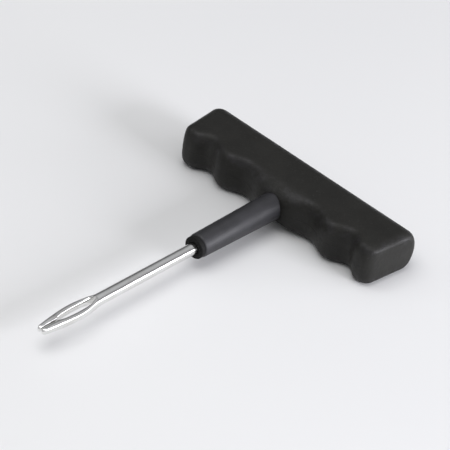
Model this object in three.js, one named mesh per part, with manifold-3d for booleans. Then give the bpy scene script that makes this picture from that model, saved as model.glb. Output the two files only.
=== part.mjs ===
// Tyre plug insertion tool: a T-handled tool with a round neck and an open-eye needle.
// Millimetres. +Z is up, X runs along the grip and the needle points along -Y.
// The origin is at the middle of the outer box, on the plane of the grip's flat underside.
// "Depth" is the distance from the grip's back edge towards the needle's tip.
import * as THREE from "three";
import { ParametricGeometry } from "three/addons/geometries/ParametricGeometry.js";
import { mergeVertices } from "three/addons/utils/BufferGeometryUtils.js";
import Module from "manifold-3d";

// Overall
const OVERALL_LENGTH = 138;
const GAP = 0.3;

// Grip
const GRIP_LENGTH = 98;
const GRIP_THICKNESS = 16.5;
const END_CORNER = 4;
const END_EDGE = 2.5;
const END_TAPER = 2.4;
const BACK_ROUND = 7;
const FRONT_ROUND = 4.5;
const FRONT_FULLNESS = 2.7;
// Crests and hollows of the front edge: [distance from the middle, depth]
const FRONT_EDGE = [
  [0, 26],
  [5, 26],
  [16, 22.4],
  [26, 25.5],
  [35.2, 22.2],
  [42.6, 25.6],
];
const HUB_DEPTH = FRONT_EDGE[0][1];
const HUB_FLAT = FRONT_EDGE[1][0];
const HUB_HALF_WIDTH = FRONT_EDGE[2][0];
const HUB_ROUND = 8;
const HUB_FULLNESS = 2.2;

// Neck sleeve and the bush in its mouth
const SLEEVE_START = 9;
const MOUTH_DEPTH = 65;
const SLEEVE_ROOT_RADIUS = 5.1;
const SLEEVE_MOUTH_RADIUS = 4.5;
const SLEEVE_CHAMFER = 0.4;
const BUSH_SPIGOT_RADIUS = 3.3;
const BUSH_SPIGOT_LENGTH = 7;
const BUSH_FLANGE_RADIUS = 4.25;
const BUSH_FLANGE_LENGTH = 1.8;

// Needle
const SHANK_RADIUS = 2.2;
const SHANK_START = 10;
const HEAD_LENGTH = 28;
const HEAD_WIDTH = 6.9;
const HEAD_THICKNESS = 3;
const TIP_WIDTH = 3.4;
const TIP_THICKNESS = 2.4;
const HEAD_EDGE = 0.6;
const NOSE_LENGTH = 8;
const EYE_LENGTH = 17.5;
const EYE_WIDTH = 2.6;
const SLIT_WIDTH = 0.5;

// Pin that holds needle, sleeve and grip together
const PIN_RADIUS = 0.9;
const PIN_LENGTH = 20;
const PIN_DEPTH = 17;
const PIN_CHAMFER = 0.3;

// Facets
const GRIP_STATIONS = 44;
const CORNER_STATIONS = 4;
const FRONT_FACETS = 10;
const BACK_FACETS = 8;
const ROUND_FACETS = 24;
const NEEDLE_FACETS = 16;

const BACK_Y = OVERALL_LENGTH / 2;
const AXIS_Z = GRIP_THICKNESS / 2;
const SHANK_BORE = SHANK_RADIUS + GAP;

const moulded = new THREE.MeshStandardMaterial({ color: 0x2b2a27, roughness: 0.62, metalness: 0 });
const sleevePlastic = new THREE.MeshStandardMaterial({ color: 0x2a2a2d, roughness: 0.45, metalness: 0 });
const bushPlastic = new THREE.MeshStandardMaterial({ color: 0x121212, roughness: 0.7, metalness: 0 });
const chrome = new THREE.MeshStandardMaterial({ color: 0xdcdcda, roughness: 0.15, metalness: 1 });
const steel = new THREE.MeshStandardMaterial({ color: 0x8f9194, roughness: 0.4, metalness: 1 });

const wasm = await Module();
wasm.setup();

// ---- Helpers -------------------------------------------------------------------------------

// A closed geometry as a manifold-3d solid, without the zero-area triangles at poles.
function solidOf(geometry) {
  const bare = new THREE.BufferGeometry();
  bare.setAttribute("position", geometry.getAttribute("position"));
  bare.setIndex(geometry.getIndex());
  const merged = mergeVertices(bare, 1e-4);
  const index = merged.getIndex().array;
  const triangles = [];
  for (let i = 0; i < index.length; i += 3) {
    const [a, b, c] = index.slice(i, i + 3);
    if (a !== b && b !== c && c !== a) triangles.push(a, b, c);
  }
  const mesh = new wasm.Mesh({
    numProp: 3,
    vertProperties: merged.getAttribute("position").array,
    triVerts: new Uint32Array(triangles),
  });
  return new wasm.Manifold(mesh);
}

function geometryOf(solid) {
  const mesh = solid.getMesh();
  const geometry = new THREE.BufferGeometry();
  geometry.setAttribute("position", new THREE.BufferAttribute(mesh.vertProperties, 3));
  geometry.setIndex(new THREE.BufferAttribute(mesh.triVerts, 1));
  geometry.computeVertexNormals();
  return geometry;
}

function namedMesh(name, geometry, material) {
  const mesh = new THREE.Mesh(geometry, material);
  mesh.name = name;
  return mesh;
}

// Turns a closed profile of [radius, depth] points round the needle's axis, its outside in order of depth.
function turned(profile, facets) {
  const points = [...profile, profile[0]].map(([radius, depth]) => new THREE.Vector2(radius, -depth));
  const geometry = new THREE.LatheGeometry(points.reverse(), facets);
  geometry.translate(0, BACK_Y, AXIS_Z);
  return geometry;
}

// A round bar along X through the needle's axis, at the pin's depth.
function crossBar(radius, length, facets) {
  const geometry = new THREE.CylinderGeometry(radius, radius, length, facets);
  geometry.rotateZ(Math.PI / 2);
  geometry.translate(0, BACK_Y - PIN_DEPTH, AXIS_Z);
  return geometry;
}

// Goes smoothly from 1 at start to 0 at end, level at both.
function fall(value, start, end) {
  const t = THREE.MathUtils.clamp((value - start) / (end - start), 0, 1);
  return (1 + Math.cos(Math.PI * t)) / 2;
}

// ---- Grip ----------------------------------------------------------------------------------

// Depth of the front edge at a distance from the grip's middle.
function frontDepth(distance) {
  for (let i = 1; i < FRONT_EDGE.length; i += 1) {
    const [start, startDepth] = FRONT_EDGE[i - 1];
    const [end, endDepth] = FRONT_EDGE[i];
    if (distance <= end) {
      return endDepth + (startDepth - endDepth) * fall(distance, start, end);
    }
  }
  return FRONT_EDGE[FRONT_EDGE.length - 1][1];
}

// Places along the grip: x, how far its rounded end has turned in, and whether the flat end has closed.
function gripStations() {
  const half = GRIP_LENGTH / 2 - END_CORNER;
  const end = [];
  for (let i = 1; i <= CORNER_STATIONS; i += 1) {
    const angle = (i / CORNER_STATIONS) * (Math.PI / 2);
    end.push({ x: half + END_CORNER * Math.sin(angle), turn: 1 - Math.cos(angle), closed: 0 });
  }
  end.push({ x: GRIP_LENGTH / 2, turn: 1, closed: 1 });
  const body = [];
  for (let i = 0; i <= GRIP_STATIONS; i += 1) {
    body.push({ x: half * ((2 * i) / GRIP_STATIONS - 1), turn: 0, closed: 0 });
  }
  const start = end.map((station) => ({ ...station, x: -station.x })).reverse();
  return [...start, ...body, ...end];
}

// One point of the grip's section: the front round runs from underside to top, then the back round returns.
function gripSectionPoint(station, step) {
  const distance = Math.abs(station.x);
  const inset = END_CORNER * station.turn;
  const half = AXIS_Z - END_EDGE * station.turn;
  const hub = fall(distance, HUB_FLAT, HUB_HALF_WIDTH);
  const front = frontDepth(distance);
  const frontRound = THREE.MathUtils.lerp(FRONT_ROUND, HUB_ROUND, hub);
  const frontFullness = THREE.MathUtils.lerp(FRONT_FULLNESS, HUB_FULLNESS, hub);
  const isFront = step <= FRONT_FACETS;
  const share = isFront ? step / FRONT_FACETS : (step - FRONT_FACETS - 1) / BACK_FACETS;
  const angle = Math.PI * (share - 0.5);
  const fullness = isFront ? frontFullness : 2;
  const out = Math.max(Math.cos(angle), 0) ** (2 / fullness);
  const up = Math.sign(angle) * Math.abs(Math.sin(angle)) ** (2 / fullness);
  if (isFront) {
    return { depth: front - frontRound + (frontRound - inset) * out, rise: half * up };
  }
  return { depth: BACK_ROUND - (BACK_ROUND - inset) * out, rise: -half * up };
}

// The grip's skin, whose ends lean inwards towards the front.
function gripSurface(stations) {
  const steps = FRONT_FACETS + BACK_FACETS + 2;
  return (u, v, target) => {
    const station = stations[Math.round(u * (stations.length - 1))];
    const section = gripSectionPoint(station, Math.round(v * steps) % steps);
    const lobe = frontDepth(GRIP_LENGTH / 2);
    const depth = THREE.MathUtils.lerp(section.depth, lobe / 2, station.closed);
    const forward = Math.max(depth - END_CORNER, 0) / (lobe - END_CORNER);
    const taper = END_TAPER * forward * ((2 * station.x) / GRIP_LENGTH) ** 4;
    const x = Math.sign(station.x) * (Math.abs(station.x) - taper);
    target.set(x, BACK_Y - depth, AXIS_Z + section.rise * (1 - station.closed));
  };
}

// The socket that the sleeve's root sits in, open towards the needle.
function sleeveSocket() {
  const root = SLEEVE_ROOT_RADIUS + GAP;
  const floor = SLEEVE_START - GAP;
  return turned([[0, floor], [root, floor], [root, MOUTH_DEPTH], [0, MOUTH_DEPTH]], ROUND_FACETS);
}

function grip() {
  const stations = gripStations();
  const steps = FRONT_FACETS + BACK_FACETS + 2;
  const body = solidOf(new ParametricGeometry(gripSurface(stations), stations.length - 1, steps));
  const pinHole = crossBar(PIN_RADIUS + GAP, PIN_LENGTH + 2 * GAP, NEEDLE_FACETS);
  return body.subtract(solidOf(sleeveSocket())).subtract(solidOf(pinHole));
}

// ---- Neck sleeve and mouth bush -------------------------------------------------------------

function neckSleeve() {
  const mouth = MOUTH_DEPTH - BUSH_FLANGE_LENGTH - GAP;
  const seat = mouth - BUSH_SPIGOT_LENGTH - GAP;
  const seatRadius = BUSH_SPIGOT_RADIUS + GAP;
  const profile = [
    [SHANK_BORE, SLEEVE_START],
    [SLEEVE_ROOT_RADIUS, SLEEVE_START],
    [SLEEVE_ROOT_RADIUS, HUB_DEPTH],
    [SLEEVE_MOUTH_RADIUS, mouth - SLEEVE_CHAMFER],
    [SLEEVE_MOUTH_RADIUS - SLEEVE_CHAMFER, mouth],
    [seatRadius, mouth],
    [seatRadius, seat],
    [SHANK_BORE, seat],
  ];
  const pinHole = crossBar(PIN_RADIUS + GAP, PIN_LENGTH, NEEDLE_FACETS);
  return solidOf(turned(profile, ROUND_FACETS)).subtract(solidOf(pinHole));
}

function mouthBush() {
  const flange = MOUTH_DEPTH - BUSH_FLANGE_LENGTH;
  const profile = [
    [SHANK_BORE, flange - GAP - BUSH_SPIGOT_LENGTH],
    [BUSH_SPIGOT_RADIUS, flange - GAP - BUSH_SPIGOT_LENGTH],
    [BUSH_SPIGOT_RADIUS, flange],
    [BUSH_FLANGE_RADIUS, flange],
    [BUSH_FLANGE_RADIUS, MOUTH_DEPTH - SLEEVE_CHAMFER],
    [BUSH_FLANGE_RADIUS - SLEEVE_CHAMFER, MOUTH_DEPTH],
    [SHANK_BORE, MOUTH_DEPTH],
  ];
  return solidOf(turned(profile, ROUND_FACETS));
}

// ---- Needle --------------------------------------------------------------------------------

// Plan of the head, drawn with y = 0 at its root and the tip at -HEAD_LENGTH.
function headOutline() {
  const wide = HEAD_WIDTH / 2 - HEAD_EDGE;
  const root = SHANK_RADIUS - HEAD_EDGE;
  const tip = TIP_WIDTH / 2 - HEAD_EDGE;
  const widest = -HEAD_LENGTH * 0.43;
  const end = HEAD_EDGE - HEAD_LENGTH;
  const outline = new THREE.Shape();
  outline.moveTo(root, 0);
  outline.bezierCurveTo(root, widest * 0.4, wide, widest * 0.5, wide, widest);
  outline.bezierCurveTo(wide, widest * 1.5, tip + 0.6, end * 0.9, tip, end);
  outline.lineTo(-tip, end);
  outline.bezierCurveTo(-tip - 0.6, end * 0.9, -wide, widest * 1.5, -wide, widest);
  outline.bezierCurveTo(-wide, widest * 0.5, -root, widest * 0.4, -root, 0);
  return outline;
}

// The eye is a long pointed oval, and the slit opens it at the tip.
function eyeOutline() {
  const front = NOSE_LENGTH - HEAD_LENGTH;
  const back = front + EYE_LENGTH;
  const middle = (front + back) / 2;
  const side = EYE_WIDTH / 2;
  const eye = new THREE.Shape();
  eye.moveTo(0, front);
  eye.bezierCurveTo(side, front, side, middle - side, side, middle);
  eye.bezierCurveTo(side, middle + side, side * 0.8, back, 0, back);
  eye.bezierCurveTo(-side * 0.8, back, -side, middle + side, -side, middle);
  eye.bezierCurveTo(-side, middle - side, -side, front, 0, front);
  return eye;
}

// Side view of the head: full shank height at the root, thinner over the eye, thinnest at the tip.
function headSide() {
  const side = new THREE.Shape();
  const flat = -HEAD_LENGTH * 0.3;
  side.moveTo(0, SHANK_RADIUS);
  side.lineTo(flat, HEAD_THICKNESS / 2);
  side.lineTo(NOSE_LENGTH - HEAD_LENGTH, HEAD_THICKNESS / 2);
  side.lineTo(-HEAD_LENGTH, TIP_THICKNESS / 2);
  side.lineTo(-HEAD_LENGTH, -TIP_THICKNESS / 2);
  side.lineTo(NOSE_LENGTH - HEAD_LENGTH, -HEAD_THICKNESS / 2);
  side.lineTo(flat, -HEAD_THICKNESS / 2);
  side.lineTo(0, -SHANK_RADIUS);
  return side;
}

function headBlade() {
  const rim = { depth: 2 * (SHANK_RADIUS - HEAD_EDGE), bevelThickness: HEAD_EDGE, bevelSize: HEAD_EDGE };
  const plan = new THREE.ExtrudeGeometry(headOutline(), { ...rim, bevelSegments: 1, curveSegments: 8 });
  plan.translate(0, 0, HEAD_EDGE - SHANK_RADIUS);
  const side = new THREE.ExtrudeGeometry(headSide(), { depth: HEAD_WIDTH + 2, bevelEnabled: false });
  side.applyMatrix4(new THREE.Matrix4().makeBasis(
    new THREE.Vector3(0, 1, 0),
    new THREE.Vector3(0, 0, 1),
    new THREE.Vector3(1, 0, 0),
  ));
  side.translate(-HEAD_WIDTH / 2 - 1, 0, 0);
  const through = { depth: HEAD_WIDTH, bevelEnabled: false, curveSegments: 6 };
  const eye = new THREE.ExtrudeGeometry(eyeOutline(), through);
  eye.translate(0, 0, -HEAD_WIDTH / 2);
  const slit = new THREE.BoxGeometry(SLIT_WIDTH, NOSE_LENGTH + 2, HEAD_WIDTH);
  slit.translate(0, NOSE_LENGTH / 2 - HEAD_LENGTH, 0);
  return solidOf(plan).intersect(solidOf(side)).subtract(solidOf(eye)).subtract(solidOf(slit));
}

function needle() {
  const headStart = OVERALL_LENGTH - HEAD_LENGTH;
  const overlap = 0.5;
  const profile = [
    [0, SHANK_START],
    [SHANK_RADIUS, SHANK_START],
    [SHANK_RADIUS, headStart + overlap],
    [0, headStart + overlap],
  ];
  const shank = solidOf(turned(profile, NEEDLE_FACETS));
  const head = headBlade().translate([0, BACK_Y - headStart, AXIS_Z]);
  const pinHole = crossBar(PIN_RADIUS + GAP / 2, 4 * SHANK_RADIUS, NEEDLE_FACETS);
  return shank.add(head).subtract(solidOf(pinHole));
}

// ---- Anchor pin ----------------------------------------------------------------------------

function anchorPin() {
  const end = PIN_LENGTH / 2;
  const profile = [
    [0, -end],
    [PIN_RADIUS - PIN_CHAMFER, -end],
    [PIN_RADIUS, PIN_CHAMFER - end],
    [PIN_RADIUS, end - PIN_CHAMFER],
    [PIN_RADIUS - PIN_CHAMFER, end],
    [0, end],
  ];
  const points = profile.map(([radius, along]) => new THREE.Vector2(radius, along));
  const pin = new THREE.LatheGeometry(points, NEEDLE_FACETS);
  pin.rotateZ(Math.PI / 2);
  pin.translate(0, BACK_Y - PIN_DEPTH, AXIS_Z);
  return pin;
}

// ---- Assembly ------------------------------------------------------------------------------

const tool = new THREE.Group();
tool.add(
  namedMesh("grip", geometryOf(grip()), moulded),
  namedMesh("neck_sleeve", geometryOf(neckSleeve()), sleevePlastic),
  namedMesh("mouth_bush", geometryOf(mouthBush()), bushPlastic),
  namedMesh("needle", geometryOf(needle()), chrome),
  namedMesh("anchor_pin", anchorPin(), steel),
);

export default tool;
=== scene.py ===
"""Looks of the tyre plug insertion tool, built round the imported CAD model.

Metres. +Z is up, X runs along the grip and the needle points along -Y.
"Depth" is the distance from the grip's back edge towards the needle's tip, as in the CAD model.
"""
import math

import bmesh
import bpy
from mathutils import Matrix, Vector


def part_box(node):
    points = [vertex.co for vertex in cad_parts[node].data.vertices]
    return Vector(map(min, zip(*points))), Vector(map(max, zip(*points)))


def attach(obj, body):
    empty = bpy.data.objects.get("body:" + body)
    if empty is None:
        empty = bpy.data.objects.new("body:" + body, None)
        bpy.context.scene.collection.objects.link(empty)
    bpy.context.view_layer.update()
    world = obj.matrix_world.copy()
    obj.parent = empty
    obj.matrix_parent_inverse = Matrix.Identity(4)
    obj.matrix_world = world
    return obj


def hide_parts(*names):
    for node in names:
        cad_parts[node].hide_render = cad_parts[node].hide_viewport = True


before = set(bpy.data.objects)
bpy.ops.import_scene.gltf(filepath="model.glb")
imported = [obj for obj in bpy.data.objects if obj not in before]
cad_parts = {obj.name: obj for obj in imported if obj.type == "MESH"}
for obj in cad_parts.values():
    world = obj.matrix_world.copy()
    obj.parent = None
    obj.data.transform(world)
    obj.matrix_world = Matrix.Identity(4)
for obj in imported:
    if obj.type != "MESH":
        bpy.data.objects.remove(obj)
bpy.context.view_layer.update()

grip_low, grip_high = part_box("grip")
sleeve_low, sleeve_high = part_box("neck_sleeve")
bush_low, bush_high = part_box("mouth_bush")
needle_low, needle_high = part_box("needle")
pin_low, pin_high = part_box("anchor_pin")

# ---- Sizes -----------------------------------------------------------------------------------
# The fullness of a rounded section is an exponent: 2 makes an ellipse, more makes it squarer.

BACK_Y = grip_high.y
AXIS_Z = (grip_low.z + grip_high.z) / 2

# Grip
GRIP_LENGTH = grip_high.x - grip_low.x
GRIP_HALF_HEIGHT = (grip_high.z - grip_low.z) / 2
END_CORNER = 0.004
END_EDGE = 0.0025
END_TAPER = 0.0024
END_TAPER_POWER = 4
BACK_ROUND = 0.007
FRONT_ROUND = 0.0045
FRONT_FULLNESS = 2.7
# Crests and hollows of the front edge: (distance from the middle, depth)
FRONT_EDGE = [
    (0.0, grip_high.y - grip_low.y),
    (0.0050, grip_high.y - grip_low.y),
    (0.0160, 0.0224),
    (0.0260, 0.0255),
    (0.0352, 0.0222),
    (0.0426, 0.0256),
]
HUB_DEPTH = FRONT_EDGE[0][1]
HUB_FLAT = FRONT_EDGE[1][0]
HUB_HALF_WIDTH = FRONT_EDGE[2][0]
HUB_ROUND = 0.008
HUB_FULLNESS = 2.2
# Height and half width of the moulding's parting line
PARTING_HEIGHT = 0.00007
PARTING_HALF_WIDTH = 0.00012
SOCKET_GAP = 0.00012
ELLIPSE_FULLNESS = 2

# Neck sleeve and mouth bush
SLEEVE_START = BACK_Y - sleeve_high.y
SLEEVE_ROOT_RADIUS = (sleeve_high.x - sleeve_low.x) / 2
SLEEVE_MOUTH_RADIUS = 0.0045
SLEEVE_MOUTH_ROUND = 0.0009
SLEEVE_ROOT_ROUND = 0.0004
BUSH_START = BACK_Y - bush_high.y
MOUTH_DEPTH = BACK_Y - bush_low.y
BUSH_FLANGE_RADIUS = (bush_high.x - bush_low.x) / 2
BUSH_FLANGE_LENGTH = 0.0018
BUSH_FLANGE_ROUND = 0.0004
BUSH_SPIGOT_RADIUS = 0.0033
BUSH_SPIGOT_ROUND = 0.0003
BUSH_BORE_ROUND = 0.0003
FINE_ROUND = 0.0001
FLANGE_GAP = 0.00005
FIT_GAP = 0.0001
SLEEVE_END = MOUTH_DEPTH - BUSH_FLANGE_LENGTH - FLANGE_GAP

# Needle
SHANK_START = BACK_Y - needle_high.y
TIP_DEPTH = BACK_Y - needle_low.y
SHANK_RADIUS = (needle_high.z - needle_low.z) / 2
SHANK_FULLNESS = 2.0
HEAD_LENGTH = 0.028
HEAD_START = TIP_DEPTH - HEAD_LENGTH
HEAD_HALF_WIDTH = (needle_high.x - needle_low.x) / 2
# Distances along the head count from its root
HEAD_WIDEST = 0.43 * HEAD_LENGTH
HEAD_NARROWING = 1.7
HEAD_HALF_HEIGHT = 0.0015
HEAD_THIN_START = -0.001
HEAD_THIN_END = 0.3 * HEAD_LENGTH
HEAD_FULLNESS = 2.8
HEAD_SQUARING = 0.006
TIP_HALF_WIDTH = 0.0017
TIP_HALF_HEIGHT = 0.0012
TIP_ROUND = 0.0013
TIP_DOMING = 0.8
NOSE_LENGTH = 0.008
EYE_LENGTH = 0.0175
EYE_START = HEAD_LENGTH - NOSE_LENGTH - EYE_LENGTH
EYE_END = HEAD_LENGTH - NOSE_LENGTH
EYE_HALF_WIDTH = 0.0013
EYE_FULLNESS = 2.3
PRONG_PARTING = 0.004
SLIT_HALF_WIDTH = 0.00025

# Anchor pin
PIN_RADIUS = (pin_high.z - pin_low.z) / 2
PIN_HALF_LENGTH = (pin_high.x - pin_low.x) / 2
PIN_DEPTH = BACK_Y - (pin_low.y + pin_high.y) / 2
PIN_ROUND = 0.0003

# Mesh fineness
GRIP_STATIONS = 190
CORNER_STATIONS = 12
ARC_STEPS = 30
ROUND_STEPS = 72
NEEDLE_STEPS = 24
SHANK_STATIONS = 30
ROOT_STATIONS = 6
EYE_STATIONS = 56
NOSE_STATIONS = 12
TIP_STATIONS = 10
FILLET_STEPS = 5
PIN_ROUND_STEPS = 3
CRISP_ANGLE = math.radians(32)
MERGE_DISTANCE = 1e-7
TINY = 1e-6


# ---- Mesh helpers ----------------------------------------------------------------------------

def clamp(share):
    return max(0.0, min(1.0, share))


def mix(a, b, share):
    return a + (b - a) * share


def fall(value, start, end):
    """Goes smoothly from 1 at start to 0 at end, level at both."""
    return (1 + math.cos(math.pi * clamp((value - start) / (end - start)))) / 2


def power(value, exponent):
    """A power that keeps the value's sign."""
    return math.copysign(abs(value) ** exponent, value)


def add_piece(name, bm):
    """Turns a bmesh into an object with outward faces, and shades it."""
    bmesh.ops.recalc_face_normals(bm, faces=bm.faces)
    mesh = bpy.data.meshes.new(name)
    bm.to_mesh(mesh)
    bm.free()
    piece = bpy.data.objects.new(name, mesh)
    bpy.context.scene.collection.objects.link(piece)
    soften(piece)
    return piece


def soften(piece):
    """Shades a piece smooth, but for the edges that turn by more than the crisp angle."""
    piece.data.shade_smooth()
    piece.data.set_sharp_from_angle(angle=CRISP_ANGLE)


def bridge_rings(bm, rings, closed=True):
    """Joins neighbouring rings of vertices with quads, or with triangles where two vertices are one."""
    for ring, following in zip(rings, rings[1:]):
        count = len(ring)
        for i in range(count if closed else count - 1):
            j = (i + 1) % count
            corners = [ring[i], ring[j], following[j], following[i]]
            distinct = list(dict.fromkeys(corners))
            if len(distinct) > 2:
                bm.faces.new(distinct)


def rounded_profile(corners):
    """Rounds each (radius, depth, fillet) corner of a closed outline by an arc of its fillet radius."""
    points = []
    count = len(corners)
    for i, (radius, depth, fillet) in enumerate(corners):
        here = Vector((radius, depth))
        if fillet == 0:
            points.append(here)
            continue
        before = (Vector(corners[i - 1][:2]) - here).normalized()
        after = (Vector(corners[(i + 1) % count][:2]) - here).normalized()
        half_turn = before.angle(after) / 2
        reach = fillet / math.tan(half_turn)
        centre = here + (before + after).normalized() * (fillet / math.sin(half_turn))
        start = here + before * reach - centre
        end = here + after * reach - centre
        for k in range(FILLET_STEPS + 1):
            spoke = start.lerp(end, k / FILLET_STEPS).normalized()
            points.append(centre + spoke * fillet)
    return points


def turned_mesh(corners):
    """A closed outline of (radius, depth, fillet) corners, turned round the needle's axis."""
    profile = rounded_profile(corners)
    bm = bmesh.new()
    rings = []
    for k in range(ROUND_STEPS):
        turn = 2 * math.pi * k / ROUND_STEPS
        across = math.cos(turn)
        up = math.sin(turn)
        rings.append([bm.verts.new((r * across, BACK_Y - d, AXIS_Z + r * up)) for r, d in profile])
    rings.append(rings[0])
    bridge_rings(bm, rings)
    return bm


def round_bar(radius, length, depth, turned_about, steps):
    """A plain round bar, centred on the needle's axis at a depth and turned flat about X or Y."""
    bm = bmesh.new()
    place = Matrix.Translation((0, BACK_Y - depth, AXIS_Z))
    turn = Matrix.Rotation(math.pi / 2, 4, turned_about)
    bmesh.ops.create_cone(
        bm,
        cap_ends=True,
        segments=steps,
        radius1=radius,
        radius2=radius,
        depth=length,
        matrix=place @ turn,
    )
    return bm


def cross_bar(radius, half_length, steps=NEEDLE_STEPS):
    """A round bar along X at the anchor pin's depth."""
    return round_bar(radius, 2 * half_length, PIN_DEPTH, "Y", steps)


def axis_bar(radius, start, end):
    """A round bar along the needle's axis, from one depth to another."""
    return round_bar(radius, end - start, (start + end) / 2, "X", 2 * ROUND_STEPS)


def cut(piece, cutter_mesh):
    """Takes the cutter's solid out of the piece and applies the result to its mesh."""
    cutter = add_piece("cutter", cutter_mesh)
    modifier = piece.modifiers.new("cut", "BOOLEAN")
    modifier.operation = "DIFFERENCE"
    modifier.solver = "EXACT"
    modifier.object = cutter
    depsgraph = bpy.context.evaluated_depsgraph_get()
    result = bpy.data.meshes.new_from_object(piece.evaluated_get(depsgraph))
    piece.modifiers.clear()
    piece.data = result
    bpy.data.objects.remove(cutter)
    soften(piece)


# ---- Grip ------------------------------------------------------------------------------------

def front_depth(distance):
    """Depth of the front edge at a distance from the grip's middle."""
    for (start, start_depth), (end, end_depth) in zip(FRONT_EDGE, FRONT_EDGE[1:]):
        if distance <= end:
            return end_depth + (start_depth - end_depth) * fall(distance, start, end)
    return FRONT_EDGE[-1][1]


def grip_stations():
    """Places along the grip: (x, how far its rounded end has turned in)."""
    half = GRIP_LENGTH / 2 - END_CORNER
    body = [(half * (2 * i / GRIP_STATIONS - 1), 0.0) for i in range(GRIP_STATIONS + 1)]
    end = []
    for i in range(1, CORNER_STATIONS + 1):
        angle = i / CORNER_STATIONS * math.pi / 2
        end.append((half + END_CORNER * math.sin(angle), 1 - math.cos(angle)))
    start = [(-x, turn) for x, turn in reversed(end)]
    return start + body + end


def section_places():
    """Places over one half of a section, from underside to top: angles, and rises at the parting line."""
    coarse = [math.pi * (k / ARC_STEPS - 0.5) for k in range(ARC_STEPS + 1)]
    below = [("angle", angle) for angle in coarse if angle < -TINY]
    line = [("rise", k * PARTING_HALF_WIDTH) for k in (-2, -1, 0, 1, 2)]
    above = [("angle", angle) for angle in coarse if angle > TINY]
    return below + line + above


def half_section(kind, value, half_height, fullness):
    """(share of the round's reach, share of its height) for one point of a half section."""
    up = value / half_height if kind == "rise" else power(math.sin(value), 2 / fullness)
    return max(1 - abs(up) ** fullness, 0) ** (1 / fullness), up


def grip_ring(x, turn):
    """One closed section of the grip: up its front round, then down its back round."""
    distance = abs(x)
    inset = END_CORNER * turn
    half_height = GRIP_HALF_HEIGHT - END_EDGE * turn
    hub = fall(distance, HUB_FLAT, HUB_HALF_WIDTH)
    front = front_depth(distance)
    front_round = mix(FRONT_ROUND, HUB_ROUND, hub)
    front_fullness = mix(FRONT_FULLNESS, HUB_FULLNESS, hub)
    places = section_places()
    ring = []
    for kind, value in places:
        out, up = half_section(kind, value, half_height, front_fullness)
        ridge = PARTING_HEIGHT if kind == "rise" and value == 0 else 0
        depth = front - front_round + (front_round - inset) * out + ridge
        ring.append(grip_point(x, depth, half_height * up))
    for kind, value in reversed(places):
        out, up = half_section(kind, value, half_height, ELLIPSE_FULLNESS)
        ridge = PARTING_HEIGHT if kind == "rise" and value == 0 else 0
        depth = BACK_ROUND - (BACK_ROUND - inset) * out - ridge
        ring.append(grip_point(x, depth, half_height * up))
    return ring


def grip_point(x, depth, rise):
    """A point of the grip, moved inwards near its ends, which lean in towards the front."""
    lobe = FRONT_EDGE[-1][1]
    forward = max(depth - END_CORNER, 0) / (lobe - END_CORNER)
    taper = END_TAPER * forward * (2 * x / GRIP_LENGTH) ** END_TAPER_POWER
    return Vector((math.copysign(abs(x) - taper, x), BACK_Y - depth, AXIS_Z + rise))


def close_end(bm, ring):
    """Closes a grip end with quads between its front half and its back half."""
    half = len(ring) // 2
    front = ring[:half]
    back = list(reversed(ring[half:]))
    for i in range(half - 1):
        bm.faces.new([front[i], front[i + 1], back[i + 1], back[i]])


def build_grip():
    """The moulding, with the sleeve's socket and the pin's hole cut into it."""
    bm = bmesh.new()
    rings = [[bm.verts.new(point) for point in grip_ring(x, turn)] for x, turn in grip_stations()]
    bridge_rings(bm, rings)
    close_end(bm, rings[0])
    close_end(bm, rings[-1])
    grip = add_piece("grip_moulding", bm)
    cut(grip, axis_bar(SLEEVE_ROOT_RADIUS + SOCKET_GAP, SLEEVE_START - SOCKET_GAP, MOUTH_DEPTH))
    cut(grip, cross_bar(PIN_RADIUS + FIT_GAP, PIN_HALF_LENGTH + FIT_GAP))
    return grip


# ---- Neck sleeve, mouth bush and anchor pin --------------------------------------------------

def build_sleeve():
    """The neck: straight inside the hub, tapering outside it, with a seat for the bush in its mouth."""
    bore = SHANK_RADIUS + FIT_GAP
    seat_radius = BUSH_SPIGOT_RADIUS + FIT_GAP
    seat = BUSH_START - FIT_GAP
    corners = [
        (bore, SLEEVE_START, 0),
        (SLEEVE_ROOT_RADIUS, SLEEVE_START, SLEEVE_ROOT_ROUND),
        (SLEEVE_ROOT_RADIUS, HUB_DEPTH, 0),
        (SLEEVE_MOUTH_RADIUS, SLEEVE_END, SLEEVE_MOUTH_ROUND),
        (seat_radius, SLEEVE_END, FINE_ROUND),
        (seat_radius, seat, 0),
        (bore, seat, 0),
    ]
    sleeve = add_piece("neck_sleeve_moulding", turned_mesh(corners))
    cut(sleeve, cross_bar(PIN_RADIUS + FIT_GAP, PIN_HALF_LENGTH))
    return sleeve


def build_bush():
    """A ring with a spigot inside the neck and a flange over its end."""
    bore = SHANK_RADIUS + FIT_GAP
    flange = MOUTH_DEPTH - BUSH_FLANGE_LENGTH
    corners = [
        (bore, BUSH_START, 0),
        (BUSH_SPIGOT_RADIUS, BUSH_START, BUSH_SPIGOT_ROUND),
        (BUSH_SPIGOT_RADIUS, flange, 0),
        (BUSH_FLANGE_RADIUS, flange, FINE_ROUND),
        (BUSH_FLANGE_RADIUS, MOUTH_DEPTH, BUSH_FLANGE_ROUND),
        (bore, MOUTH_DEPTH, BUSH_BORE_ROUND),
    ]
    return add_piece("mouth_bush_ring", turned_mesh(corners))


def build_pin():
    """A plain cross pin with rounded rims."""
    bm = cross_bar(PIN_RADIUS, PIN_HALF_LENGTH, 2 * NEEDLE_STEPS)
    rims = [edge for edge in bm.edges if abs(edge.verts[0].co.x - edge.verts[1].co.x) < TINY]
    bmesh.ops.bevel(
        bm,
        geom=rims,
        offset=PIN_ROUND,
        segments=PIN_ROUND_STEPS,
        affect="EDGES",
        profile=0.5,
    )
    return add_piece("anchor_pin_rod", bm)


# ---- Needle ----------------------------------------------------------------------------------

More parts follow.
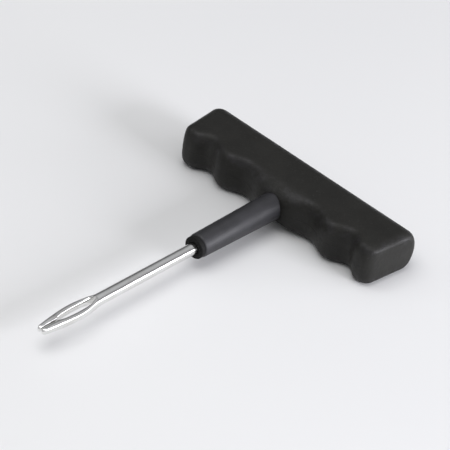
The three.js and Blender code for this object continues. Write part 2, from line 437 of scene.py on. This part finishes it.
def head_half_width(along):
    """Half width of the head at a distance from its root: a leaf, widest before its middle."""
    if along <= 0:
        return SHANK_RADIUS
    if along <= HEAD_WIDEST:
        return mix(HEAD_HALF_WIDTH, SHANK_RADIUS, fall(along, 0, HEAD_WIDEST))
    share = (along - HEAD_WIDEST) / (HEAD_LENGTH - HEAD_WIDEST)
    return mix(HEAD_HALF_WIDTH, TIP_HALF_WIDTH, share ** HEAD_NARROWING)


def eye_half_width(along):
    """Half width of the opening between the prongs: the eye, then the slit through the nose."""
    middle = EYE_START + EYE_LENGTH / 2
    if along <= EYE_START:
        return 0.0
    reach = abs(along - middle) / (EYE_LENGTH / 2)
    eye = EYE_HALF_WIDTH * max(1 - reach ** EYE_FULLNESS, 0) ** 0.5
    return max(eye, SLIT_HALF_WIDTH) if along > middle else eye


def head_half_height(along):
    """Half thickness: the shank's, thinned into the head and again towards the tip."""
    thinned = mix(HEAD_HALF_HEIGHT, SHANK_RADIUS, fall(along, HEAD_THIN_START, HEAD_THIN_END))
    nose = 1 - fall(along, EYE_END, HEAD_LENGTH)
    return mix(thinned, TIP_HALF_HEIGHT, nose)


def needle_stations():
    """Distances from the head's root, up to the point where the eye begins and from there on."""
    shank = [mix(SHANK_START - HEAD_START, 0, i / SHANK_STATIONS) for i in range(SHANK_STATIONS + 1)]
    root = [EYE_START * i / ROOT_STATIONS for i in range(1, ROOT_STATIONS + 1)]
    eye = []
    for i in range(1, EYE_STATIONS + 1):
        eye.append(mix(EYE_START, EYE_END, fall(i / EYE_STATIONS, 1, 0)))
    straight = NOSE_LENGTH - TIP_ROUND
    nose = [EYE_END + straight * i / NOSE_STATIONS for i in range(1, NOSE_STATIONS + 1)]
    tip = []
    for i in range(1, TIP_STATIONS):
        angle = math.pi / 2 * i / TIP_STATIONS
        tip.append(HEAD_LENGTH - TIP_ROUND * (1 - math.sin(angle)))
    return shank + root, eye + nose + tip


def needle_section(along, side, inner):
    """The outer or inner half of the section on one side of the needle, from top to underside."""
    width = head_half_width(along)
    opening = eye_half_width(along)
    height = head_half_height(along)
    parted = 1 - fall(along, EYE_START, EYE_START + PRONG_PARTING)
    centre = opening + (width - opening) / 2 * parted
    reach = centre - opening if inner else width - centre
    fullness = mix(SHANK_FULLNESS, HEAD_FULLNESS, 1 - fall(along, 0, HEAD_SQUARING))
    past = max(along - (HEAD_LENGTH - TIP_ROUND), 0) / TIP_ROUND
    shrink = math.sqrt(max(1 - past * past, 0))
    points = []
    for k in range(NEEDLE_STEPS + 1):
        angle = math.pi * (0.5 - k / NEEDLE_STEPS)
        out = max(math.cos(angle), 0) ** (2 / fullness) * reach * shrink
        up = power(math.sin(angle), 2 / fullness) * height * mix(1, shrink, TIP_DOMING)
        x = centre - out if inner else centre + out
        points.append(Vector((side * x, BACK_Y - HEAD_START - along, AXIS_Z + up)))
    return points


def build_needle():
    """Two mirrored halves, joined along the shank and parted by the eye and the slit."""
    bm = bmesh.new()
    joined, parted = needle_stations()
    crotch = joined[-1]
    for side in (1, -1):
        outer = needle_wall(bm, joined + parted, side, inner=False)
        inner = needle_wall(bm, [crotch] + parted, side, inner=True)
        bm.faces.new(outer[0])
        bm.faces.new(outer[-1] + list(reversed(inner[-1])))
    bmesh.ops.remove_doubles(bm, verts=bm.verts, dist=MERGE_DISTANCE)
    needle = add_piece("needle_steel", bm)
    cut(needle, cross_bar(PIN_RADIUS + FIT_GAP / 2, 3 * SHANK_RADIUS))
    return needle


def needle_wall(bm, stations, side, inner):
    """The outer or inner wall of one half of the needle, as rows of vertices joined by faces."""
    rows = [[bm.verts.new(point) for point in needle_section(s, side, inner)] for s in stations]
    bridge_rings(bm, rows, closed=False)
    return rows


# ---- Materials -------------------------------------------------------------------------------

# Colours, in linear light
GRIP_DARK = (0.0090, 0.0086, 0.0070)
GRIP_LIGHT = (0.0135, 0.0130, 0.0108)
GRIP_WORN = (0.0215, 0.0205, 0.0215)
GRIP_DUST = (0.050, 0.049, 0.046)
SLEEVE_DARK = (0.0130, 0.0128, 0.0150)
SLEEVE_LIGHT = (0.0195, 0.0190, 0.0225)
SLEEVE_SCRATCH = (0.046, 0.045, 0.050)
RUBBER_DARK = (0.0050, 0.0050, 0.0052)
RUBBER_LIGHT = (0.0090, 0.0088, 0.0086)
RUBBER_BLOOM = (0.030, 0.029, 0.028)
PLATE_BRIGHT = (0.84, 0.84, 0.83)
PLATE_DULL = (0.74, 0.73, 0.71)
PLATE_SCUFFED = (0.55, 0.54, 0.52)
STEEL_DARK = (0.34, 0.345, 0.35)
STEEL_LIGHT = (0.46, 0.465, 0.47)
FLOOR_GREY = (0.80, 0.80, 0.80)
FLOOR_LIGHT = (0.83, 0.83, 0.825)

# Where a hand rubs the grip, as shares of its half height: the band's start, its full part and its end
RUB_START = 0.45
RUB_FULL = 0.75
RUB_FADE = 0.94
RUB_END = 1.0
# How far behind the needle's head the scuffs begin
SCUFF_FADE = 0.012


class Finish:
    """A small helper that builds one procedural material round a Principled shader."""

    def __init__(self, name):
        self.material = bpy.data.materials.new(name)
        self.material.use_nodes = True
        self.tree = self.material.node_tree
        self.shader = self.tree.nodes["Principled BSDF"]
        self.place = self.tree.nodes.new("ShaderNodeTexCoord").outputs["Object"]

    def link(self, output, target):
        self.tree.links.new(output, target)

    def feed(self, socket, output):
        """Drives one of the shader's sockets with another node's output."""
        self.link(output, self.shader.inputs[socket])

    def noise(self, size, detail=2.0, roughness=0.5, stretch=(1, 1, 1)):
        """Noise whose features are about `size` metres, drawn out by `stretch` along X, Y and Z."""
        mapping = self.tree.nodes.new("ShaderNodeMapping")
        mapping.inputs["Scale"].default_value = [1 / (size * s) for s in stretch]
        self.link(self.place, mapping.inputs["Vector"])
        node = self.tree.nodes.new("ShaderNodeTexNoise")
        node.inputs["Scale"].default_value = 1.0
        node.inputs["Detail"].default_value = detail
        node.inputs["Roughness"].default_value = roughness
        self.link(mapping.outputs["Vector"], node.inputs["Vector"])
        return node.outputs["Fac"]

    def ramp(self, value, low, high, from_low=0.3, from_high=0.7):
        """Goes smoothly from `low` to `high` as the value goes from `from_low` to `from_high`."""
        node = self.tree.nodes.new("ShaderNodeMapRange")
        node.interpolation_type = "SMOOTHSTEP"
        node.inputs["From Min"].default_value = from_low
        node.inputs["From Max"].default_value = from_high
        node.inputs["To Min"].default_value = low
        node.inputs["To Max"].default_value = high
        self.link(value, node.inputs["Value"])
        return node.outputs["Result"]

    def patches(self, noise, begin=0.3, full=0.7):
        """0 where the noise is below `begin` and 1 where it is above `full`."""
        return self.ramp(noise, 0, 1, begin, full)

    def blend(self, factor, first, second):
        """Mixes two colours, each a plain colour or another node's output."""
        node = self.tree.nodes.new("ShaderNodeMix")
        node.data_type = "RGBA"
        self.link(factor, node.inputs["Factor"])
        for socket, colour in (("A", first), ("B", second)):
            target = [i for i in node.inputs if i.name == socket and i.type == "RGBA"][0]
            if isinstance(colour, tuple):
                target.default_value = (*colour, 1)
            else:
                self.link(colour, target)
        return [o for o in node.outputs if o.type == "RGBA"][0]

    def overlay(self, base, mask, amount, colour):
        """Lays a colour over the base by `amount` where the mask is 1."""
        return self.blend(self.math("MULTIPLY", mask, amount), base, colour)

    def math(self, operation, first, second):
        """One sum on two values, each a plain number or another node's output."""
        node = self.tree.nodes.new("ShaderNodeMath")
        node.operation = operation
        for i, value in enumerate((first, second)):
            if isinstance(value, (int, float)):
                node.inputs[i].default_value = value
            else:
                self.link(value, node.inputs[i])
        return node.outputs[0]

    def coordinate(self, axis):
        """One coordinate of the place on the tool, in metres."""
        node = self.tree.nodes.new("ShaderNodeSeparateXYZ")
        self.link(self.place, node.inputs["Vector"])
        return node.outputs[axis]

    def round_band(self):
        """1 on the rounds between the grip's walls and its flat top or underside, where a hand rubs."""
        above_axis = self.math("SUBTRACT", self.coordinate("Z"), AXIS_Z)
        rise = self.math("ABSOLUTE", above_axis, 0)
        begins = self.ramp(rise, 0, 1, RUB_START * GRIP_HALF_HEIGHT, RUB_FULL * GRIP_HALF_HEIGHT)
        ends = self.ramp(rise, 1, 0, RUB_FADE * GRIP_HALF_HEIGHT, RUB_END * GRIP_HALF_HEIGHT)
        return self.math("MULTIPLY", begins, ends)

    def head_share(self):
        """0 along the shank and 1 on the needle's head."""
        head_y = BACK_Y - HEAD_START
        return self.ramp(self.coordinate("Y"), 1, 0, head_y - SCUFF_FADE, head_y)

    def bump(self, height, depth, strength, below=None):
        """A bump of `depth` metres, on top of an earlier bump if one is given."""
        node = self.tree.nodes.new("ShaderNodeBump")
        node.inputs["Strength"].default_value = strength
        node.inputs["Distance"].default_value = depth
        self.link(height, node.inputs["Height"])
        if below is not None:
            self.link(below, node.inputs["Normal"])
        return node.outputs["Normal"]


def moulded_plastic():
    """Charcoal plastic with a spark-eroded grain, mottling and dust, smoother where hands rub it."""
    finish = Finish("grip_charcoal_plastic")
    rubbed = finish.patches(finish.noise(0.0035, detail=4, roughness=0.6), begin=0.38, full=0.66)
    worn = finish.math("MULTIPLY", finish.round_band(), rubbed)
    mottle = finish.patches(finish.noise(0.011, detail=4, roughness=0.6))
    dust = finish.patches(finish.noise(0.0006), begin=0.62, full=0.80)
    base = finish.blend(mottle, GRIP_DARK, GRIP_LIGHT)
    base = finish.overlay(base, worn, 0.7, GRIP_WORN)
    base = finish.overlay(base, dust, 0.5, GRIP_DUST)
    finish.feed("Base Color", base)
    smear = finish.ramp(finish.noise(0.013, detail=4, roughness=0.6, stretch=(1, 0.6, 1)), 0.50, 0.62)
    smoothed = finish.math("MULTIPLY", worn, 0.12)
    finish.feed("Roughness", finish.math("SUBTRACT", smear, smoothed))
    waves = finish.bump(finish.noise(0.008, detail=1), depth=0.00018, strength=0.6)
    pebbles = finish.bump(finish.noise(0.0011, roughness=0.45), depth=0.00016, strength=0.6, below=waves)
    grain = finish.bump(finish.noise(0.00034, roughness=0.55), depth=0.00009, strength=0.7, below=pebbles)
    finish.feed("Normal", grain)
    finish.shader.inputs["Specular IOR Level"].default_value = 0.32
    return finish.material


def sleeve_plastic():
    """Smoother violet-black plastic with faint lines drawn along it and a few light scratches."""
    finish = Finish("sleeve_black_plastic")
    mottle = finish.patches(finish.noise(0.006, detail=3))
    streaks = finish.noise(0.0005, detail=3, roughness=0.6, stretch=(1, 18, 1))
    scratches = finish.patches(streaks, begin=0.60, full=0.72)
    base = finish.blend(mottle, SLEEVE_DARK, SLEEVE_LIGHT)
    finish.feed("Base Color", finish.overlay(base, scratches, 0.5, SLEEVE_SCRATCH))
    smear = finish.ramp(finish.noise(0.004, detail=3, roughness=0.6, stretch=(1, 3, 1)), 0.48, 0.58)
    roughened = finish.math("MULTIPLY", scratches, 0.12)
    finish.feed("Roughness", finish.math("ADD", smear, roughened))
    lines = finish.bump(finish.noise(0.0004, stretch=(1, 16, 1)), depth=0.00005, strength=0.5)
    pebbles = finish.bump(finish.noise(0.0012, roughness=0.45), depth=0.00012, strength=0.5, below=lines)
    grain = finish.bump(finish.noise(0.00026), depth=0.00005, strength=0.6, below=pebbles)
    finish.feed("Normal", grain)
    finish.shader.inputs["Specular IOR Level"].default_value = 0.6
    return finish.material


def bush_rubber():
    """Dull black with a dusty bloom."""
    finish = Finish("bush_black_rubber")
    mottle = finish.patches(finish.noise(0.0015, detail=3))
    bloom = finish.patches(finish.noise(0.0006, detail=3), begin=0.55, full=0.75)
    base = finish.blend(mottle, RUBBER_DARK, RUBBER_LIGHT)
    finish.feed("Base Color", finish.overlay(base, bloom, 0.35, RUBBER_BLOOM))
    finish.feed("Roughness", finish.ramp(finish.noise(0.0008), 0.64, 0.80))
    finish.feed("Normal", finish.bump(finish.noise(0.0002), depth=0.00003, strength=0.6))
    finish.shader.inputs["Specular IOR Level"].default_value = 0.2
    return finish.material


def bright_plate():
    """Bright nickel-chrome plate: polishing marks along the needle, duller patches and a scuffed head."""
    finish = Finish("needle_bright_plate")
    dull = finish.patches(finish.noise(0.004, detail=3, roughness=0.6, stretch=(1, 2, 1)))
    rubbed = finish.patches(finish.noise(0.0009, detail=4, roughness=0.65), begin=0.50, full=0.66)
    scuffs = finish.math("MULTIPLY", finish.head_share(), rubbed)
    base = finish.blend(dull, PLATE_BRIGHT, PLATE_DULL)
    finish.feed("Base Color", finish.overlay(base, scuffs, 0.35, PLATE_SCUFFED))
    finish.shader.inputs["Metallic"].default_value = 1.0
    marks = finish.noise(0.00012, roughness=0.6, stretch=(1, 60, 1))
    dulled = finish.ramp(dull, 0.0, 0.06, from_low=0, from_high=1)
    scuffed = finish.math("MULTIPLY", scuffs, 0.16)
    wear = finish.math("ADD", dulled, scuffed)
    finish.feed("Roughness", finish.math("ADD", finish.ramp(marks, 0.07, 0.17), wear))
    drawn = finish.bump(marks, depth=0.000008, strength=0.6)
    dents = finish.noise(0.0022, detail=1)
    finish.feed("Normal", finish.bump(dents, depth=0.00002, strength=0.5, below=drawn))
    return finish.material


def ground_steel():
    """Plain steel with marks round it from grinding."""
    finish = Finish("pin_ground_steel")
    marks = finish.noise(0.0001, roughness=0.6, stretch=(1, 30, 30))
    finish.feed("Base Color", finish.blend(finish.patches(marks), STEEL_DARK, STEEL_LIGHT))
    finish.shader.inputs["Metallic"].default_value = 1.0
    finish.feed("Roughness", finish.ramp(marks, 0.28, 0.42))
    finish.feed("Normal", finish.bump(marks, depth=0.000005, strength=0.5))
    return finish.material


def floor_paint():
    """Matt pale grey, very slightly uneven."""
    finish = Finish("floor_pale")
    mottle = finish.patches(finish.noise(0.4))
    finish.feed("Base Color", finish.blend(mottle, FLOOR_GREY, FLOOR_LIGHT))
    finish.shader.inputs["Roughness"].default_value = 0.8
    finish.shader.inputs["Specular IOR Level"].default_value = 0.2
    return finish.material


# ---- Assembly --------------------------------------------------------------------------------

def fit_piece(piece, material, node):
    """Gives a piece its material and its place in the frame."""
    piece.data.materials.clear()
    piece.data.materials.append(material)
    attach(piece, "root")
    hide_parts(node)


def build_tool():
    fit_piece(build_grip(), moulded_plastic(), "grip")
    fit_piece(build_sleeve(), sleeve_plastic(), "neck_sleeve")
    fit_piece(build_bush(), bush_rubber(), "mouth_bush")
    fit_piece(build_needle(), bright_plate(), "needle")
    fit_piece(build_pin(), ground_steel(), "anchor_pin")


# ---- Stage -----------------------------------------------------------------------------------

FLOOR_HALF_SIZE = 3.0
FLOOR_GAP = 0.0002

CAMERA_AZIMUTH = math.radians(39.0)
CAMERA_ELEVATION = math.radians(37.2)
CAMERA_ROLL = math.radians(8.5)
CAMERA_DISTANCE = 0.93
CAMERA_LENS = 210.0
CAMERA_SENSOR = 36
CAMERA_AIM = Vector((-0.0025, 0.0225, AXIS_Z))

WHITE = (1, 1, 1)
COOL_WHITE = (0.94, 0.94, 1.0)
SKY_COLOUR = (0.96, 0.97, 1.0, 1)
# The surround's strength at the horizon and overhead, and the rises between which it changes
SKY_LOW_STRENGTH = 0.14
SKY_HIGH_STRENGTH = 0.60
SKY_LOW_UNTIL = 0.35
SKY_HIGH_FROM = 0.95


def build_floor():
    bm = bmesh.new()
    bmesh.ops.create_grid(bm, x_segments=1, y_segments=1, size=FLOOR_HALF_SIZE)
    floor = add_piece("floor", bm)
    floor.location.z = grip_low.z - FLOOR_GAP
    floor.data.materials.append(floor_paint())


def add_softbox(name, toward, distance, size, watts, tint=WHITE):
    """A rectangular area light that faces the tool from the direction `toward`."""
    light = bpy.data.lights.new(name, "AREA")
    light.shape = "RECTANGLE"
    light.size, light.size_y = size
    light.energy = watts
    light.color = tint
    lamp = bpy.data.objects.new(name, light)
    direction = Vector(toward).normalized()
    lamp.location = CAMERA_AIM + direction * distance
    lamp.rotation_mode = "QUATERNION"
    lamp.rotation_quaternion = direction.to_track_quat("Z", "Y")
    bpy.context.scene.collection.objects.link(lamp)


def light_stage():
    """Soft light from above, with two boxes beyond the grip's right end and a weak one at the left."""
    add_softbox("overhead", (-0.1, -0.2, 1.0), 1.1, size=(0.9, 0.9), watts=5)
    add_softbox("right_rear", (0.70, 0.62, 0.20), 1.2, size=(0.9, 0.42), watts=6, tint=COOL_WHITE)
    add_softbox("right_side", (0.93, 0.15, 0.28), 1.2, size=(0.5, 0.40), watts=12, tint=COOL_WHITE)
    add_softbox("left_front", (-1.0, -0.8, 0.6), 1.3, size=(0.4, 0.9), watts=1.0)
    bpy.context.scene.world = studio_world()


def studio_world():
    """A plain surround that is dim at the horizon and bright overhead."""
    world = bpy.data.worlds.new("studio")
    world.use_nodes = True
    tree = world.node_tree
    background = tree.nodes["Background"]
    background.inputs["Color"].default_value = SKY_COLOUR
    direction = tree.nodes.new("ShaderNodeTexCoord")
    parts = tree.nodes.new("ShaderNodeSeparateXYZ")
    tree.links.new(direction.outputs["Generated"], parts.inputs["Vector"])
    rise = tree.nodes.new("ShaderNodeMapRange")
    rise.interpolation_type = "SMOOTHSTEP"
    rise.inputs["From Min"].default_value = SKY_LOW_UNTIL
    rise.inputs["From Max"].default_value = SKY_HIGH_FROM
    rise.inputs["To Min"].default_value = SKY_LOW_STRENGTH
    rise.inputs["To Max"].default_value = SKY_HIGH_STRENGTH
    tree.links.new(parts.outputs["Z"], rise.inputs["Value"])
    tree.links.new(rise.outputs["Result"], background.inputs["Strength"])
    return world


def place_camera():
    """The camera looks down at the tool from in front and to its right, a little rolled."""
    toward = Vector((
        math.sin(CAMERA_AZIMUTH) * math.cos(CAMERA_ELEVATION),
        -math.cos(CAMERA_AZIMUTH) * math.cos(CAMERA_ELEVATION),
        math.sin(CAMERA_ELEVATION),
    ))
    level = Vector((math.cos(CAMERA_AZIMUTH), math.sin(CAMERA_AZIMUTH), 0))
    upright = toward.cross(level)
    right = level * math.cos(CAMERA_ROLL) + upright * math.sin(CAMERA_ROLL)
    up = toward.cross(right)
    data = bpy.data.cameras.new("camera")
    data.lens = CAMERA_LENS
    data.sensor_width = CAMERA_SENSOR
    data.clip_start = 0.05
    data.clip_end = 20
    camera = bpy.data.objects.new("camera", data)
    axes = Matrix((right, up, toward)).transposed().to_4x4()
    camera.matrix_world = Matrix.Translation(CAMERA_AIM + toward * CAMERA_DISTANCE) @ axes
    bpy.context.scene.collection.objects.link(camera)
    bpy.context.scene.camera = camera


place_camera()
build_tool()
build_floor()
light_stage()
bpy.context.scene.view_settings.view_transform = "Standard"
